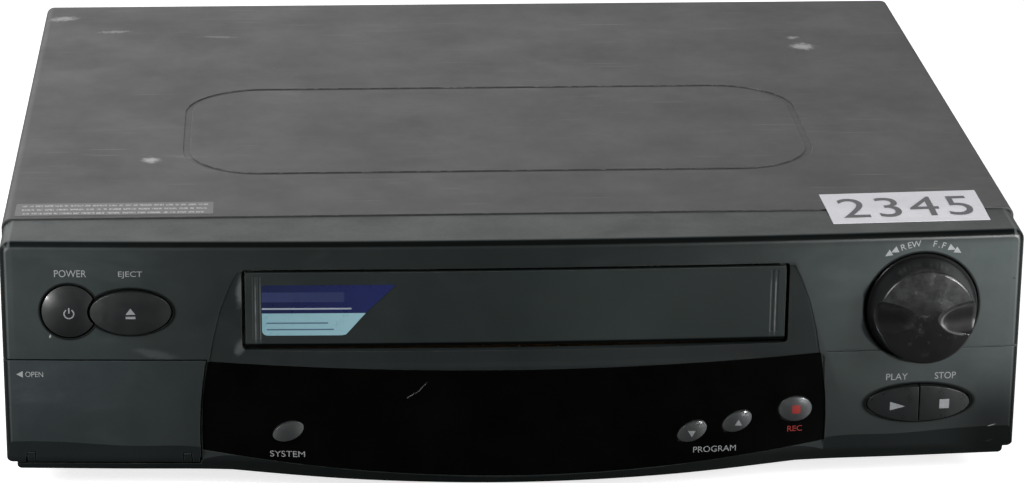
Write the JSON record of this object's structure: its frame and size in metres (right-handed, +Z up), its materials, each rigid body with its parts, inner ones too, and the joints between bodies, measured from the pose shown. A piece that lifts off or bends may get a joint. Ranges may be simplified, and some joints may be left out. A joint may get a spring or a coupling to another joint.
{
  "type": "video cassette recorder",
  "caption": "Front-loading video cassette recorder: bowed grey front, sprung cassette door, socket flap, shuttle dial, push buttons, pressed steel cover and a working tape deck inside.",
  "frame": {"origin": "centre of the overall box, on the surface that the feet stand on", "axes": "+X to the right seen from the front, +Y from the front to the back, +Z up"},
  "size_m": [0.36, 0.3224, 0.093],
  "materials": {
    "front_moulding": "moulded, fine satin grain, blue-grey",
    "door_moulding": "moulded, fine satin grain, blue-grey",
    "flap_moulding": "moulded, fine satin grain, blue-grey",
    "smoked_window": "near-black smoked acrylic, polished",
    "cover_paint": "satin grey paint on pressed sheet",
    "cover_screw": "black zinc plate",
    "spring_wire": "bright spring wire",
    "black_moulding": "black moulding",
    "socket_plate_metal": "nickel-plated shells",
    "nickel": "nickel plate",
    "board_brown": "paper-phenolic board",
    "board_green": "glass-epoxy board",
    "switch_plastic": "black switch bodies",
    "display_glass": "vacuum display envelope",
    "zinc_steel": "zinc-plated pressed steel",
    "rear_steel": "satin black painted steel",
    "foot_plastic": "black moulded feet",
    "screw_steel": "zinc plate",
    "tinned_steel": "tinned sheet",
    "component_black": "moulded component bodies",
    "laminated_iron": "varnished laminations",
    "coil_tape": "wound coil under yellow tape",
    "aluminium_sheet": "plain extrusion",
    "turned_aluminium": "fine turned",
    "head_metal": "polished head shells",
    "polished_steel": "ground and polished",
    "bearing_brass": "turned",
    "small_button": "metallic grey lacquer",
    "large_button": "dark metallic lacquer",
    "lens_button": "dark gloss lacquer",
    "dial_gloss": "black gloss, worn",
    "reel_plastic": "pale acetal",
    "gear_plastic": "natural acetal",
    "roller_rubber": "ground rubber"
  },
  "bodies": {
    "recorder": {"front_fascia": "front_moulding", "display_window": "smoked_window", "door_spring": "spring_wire", "av_socket_panel": "black_moulding", "front_av_sockets": "socket_plate_metal", "control_boards": "board_brown", "tact_switches": "switch_plastic", "display_tube": "display_glass", "shuttle_encoder": "switch_plastic", "top_cover": "cover_paint", "base_tray": "zinc_steel", "feet": "foot_plastic", "foot_screws": "screw_steel", "cover_screws": "cover_screw", "rear_panel": "rear_steel", "tuner_can": "tinned_steel", "aerial_sockets": "nickel", "scart_sockets": "black_moulding", "audio_sockets": "socket_plate_metal", "mains_inlet": "black_moulding", "main_board": "board_brown", "standoffs": "zinc_steel", "board_components": "component_black", "supply_board": "board_brown", "transformer_core": "laminated_iron", "transformer_coil": "coil_tape", "supply_capacitors": "component_black", "supply_heatsink": "aluminium_sheet", "deck_plate": "zinc_steel", "carriage_frames": "zinc_steel", "lower_drum": "turned_aluminium", "stationary_heads": "head_metal", "guide_posts": "polished_steel", "capstan_bearing": "bearing_brass", "capstan_motor": "board_green", "loading_motor": "tinned_steel"},
    "rec_button": {"rec_button": "small_button"},
    "program_up_button": {"program_up_button": "small_button"},
    "program_down_button": {"program_down_button": "small_button"},
    "system_button": {"system_button": "small_button"},
    "power_button": {"power_button": "large_button"},
    "eject_button": {"eject_button": "large_button"},
    "play_button": {"play_button": "lens_button"},
    "stop_button": {"stop_button": "lens_button"},
    "shuttle_dial": {"shuttle_dial": "dial_gloss"},
    "cassette_door": {"cassette_door": "door_moulding"},
    "av_flap": {"av_flap": "flap_moulding"},
    "carriage_slider": {"carriage_slider": "zinc_steel"},
    "cassette_tray": {"cassette_tray": "zinc_steel"},
    "supply_reel": {"supply_reel": "reel_plastic"},
    "takeup_reel": {"takeup_reel": "reel_plastic"},
    "upper_drum": {"upper_drum": "turned_aluminium"},
    "supply_guide": {"supply_guide": "polished_steel"},
    "takeup_guide": {"takeup_guide": "polished_steel"},
    "capstan": {"capstan": "polished_steel"},
    "pinch_arm": {"pinch_arm": "zinc_steel"},
    "pinch_roller": {"pinch_roller": "roller_rubber"},
    "tension_arm": {"tension_arm": "zinc_steel"},
    "cam_gear": {"cam_gear": "gear_plastic"},
    "loading_pinion": {"loading_pinion": "gear_plastic"}
  },
  "joints": [
    {"name": "rec_button_press", "type": "slide", "parent": "recorder", "child": "rec_button", "axis": [0, 1, 0], "range_m": [0, 0.0012], "stiffness_N_per_m": 400},
    {"name": "program_up_button_press", "type": "slide", "parent": "recorder", "child": "program_up_button", "axis": [0, 1, 0], "range_m": [0, 0.0012], "stiffness_N_per_m": 400},
    {"name": "program_down_button_press", "type": "slide", "parent": "recorder", "child": "program_down_button", "axis": [0, 1, 0], "range_m": [0, 0.0012], "stiffness_N_per_m": 400},
    {"name": "system_button_press", "type": "slide", "parent": "recorder", "child": "system_button", "axis": [0, 1, 0], "range_m": [0, 0.0012], "stiffness_N_per_m": 400},
    {"name": "power_button_press", "type": "slide", "parent": "recorder", "child": "power_button", "axis": [0, 1, 0], "range_m": [0, 0.0012], "stiffness_N_per_m": 400},
    {"name": "eject_button_press", "type": "slide", "parent": "recorder", "child": "eject_button", "axis": [0, 1, 0], "range_m": [0, 0.0012], "stiffness_N_per_m": 400},
    {"name": "play_button_press", "type": "slide", "parent": "recorder", "child": "play_button", "axis": [0, 1, 0], "range_m": [0, 0.0012], "stiffness_N_per_m": 400},
    {"name": "stop_button_press", "type": "slide", "parent": "recorder", "child": "stop_button", "axis": [0, 1, 0], "range_m": [0, 0.0012], "stiffness_N_per_m": 400},
    {"name": "dial_turn", "type": "hinge", "parent": "recorder", "child": "shuttle_dial", "pos_m": [0.1434, -0.1468, 0.0649], "axis": [0, 1, 0], "range_deg": [-75, 75], "stiffness_Nm_per_rad": 0.05},
    {"name": "door_swing", "type": "hinge", "parent": "recorder", "child": "cassette_door", "pos_m": [0, -0.1472, 0.083], "axis": [1, 0, 0], "range_deg": [0, 84], "stiffness_Nm_per_rad": 0.006, "springref_deg": -20.05},
    {"name": "flap_swing", "type": "hinge", "parent": "recorder", "child": "av_flap", "pos_m": [-0.177, -0.14445, 0.0123], "axis": [0.9988, -0.0493, 0], "range_deg": [0, 88]},
    {"name": "carriage_travel", "type": "slide", "parent": "recorder", "child": "carriage_slider", "axis": [0, 1, 0], "range_m": [0, 0.064]},
    {"name": "tray_drop", "type": "slide", "parent": "carriage_slider", "child": "cassette_tray", "axis": [0, 0, -1], "range_m": [0, 0.017]},
    {"name": "supply_reel_spin", "type": "hinge", "parent": "recorder", "child": "supply_reel", "pos_m": [-0.046, -0.0808, 0.04], "axis": [0, 0, 1], "continuous": true},
    {"name": "takeup_reel_spin", "type": "hinge", "parent": "recorder", "child": "takeup_reel", "pos_m": [0.046, -0.0808, 0.04], "axis": [0, 0, 1], "continuous": true},
    {"name": "drum_spin", "type": "hinge", "parent": "recorder", "child": "upper_drum", "pos_m": [0, 0.0212, 0.055], "axis": [0, 0, 1], "continuous": true},
    {"name": "capstan_spin", "type": "hinge", "parent": "recorder", "child": "capstan", "pos_m": [0.068, -0.0088, 0.04], "axis": [0, 0, 1], "continuous": true},
    {"name": "cam_turn", "type": "hinge", "parent": "recorder", "child": "cam_gear", "pos_m": [-0.04385, 0.0502, 0.028], "axis": [0, 0, 1], "range_deg": [0, 170]},
    {"name": "pinion_spin", "type": "hinge", "parent": "recorder", "child": "loading_pinion", "pos_m": [-0.08, 0.0502, 0.028], "axis": [0, 0, 1], "range_deg": [-852, 0]},
    {"name": "pinch_swing", "type": "hinge", "parent": "recorder", "child": "pinch_arm", "pos_m": [0.082, 0.0132, 0.042], "axis": [0, 0, 1], "range_deg": [-25, 0]},
    {"name": "pinch_roller_spin", "type": "hinge", "parent": "pinch_arm", "child": "pinch_roller", "pos_m": [0.0861, -0.0091, 0.05], "axis": [0, 0, 1], "continuous": true},
    {"name": "tension_swing", "type": "hinge", "parent": "recorder", "child": "tension_arm", "pos_m": [-0.08, -0.0128, 0.039], "axis": [0, 0, 1], "range_deg": [-10, 12], "stiffness_Nm_per_rad": 0.02},
    {"name": "supply_guide_travel", "type": "slide", "parent": "recorder", "child": "supply_guide", "axis": [0.2346, 0.9721, 0], "range_m": [0, 0.0595]},
    {"name": "takeup_guide_travel", "type": "slide", "parent": "recorder", "child": "takeup_guide", "axis": [-0.2346, 0.9721, 0], "range_m": [0, 0.0595]}
  ],
  "couplings": [
    {"joint": "pinion_spin", "follows": "cam_turn", "ratio": -5},
    {"joint": "supply_guide_travel", "follows": "cam_turn", "m_per_rad": 0.02},
    {"joint": "takeup_guide_travel", "follows": "cam_turn", "m_per_rad": 0.02},
    {"joint": "pinch_swing", "follows": "cam_turn", "ratio": -0.147}
  ]
}
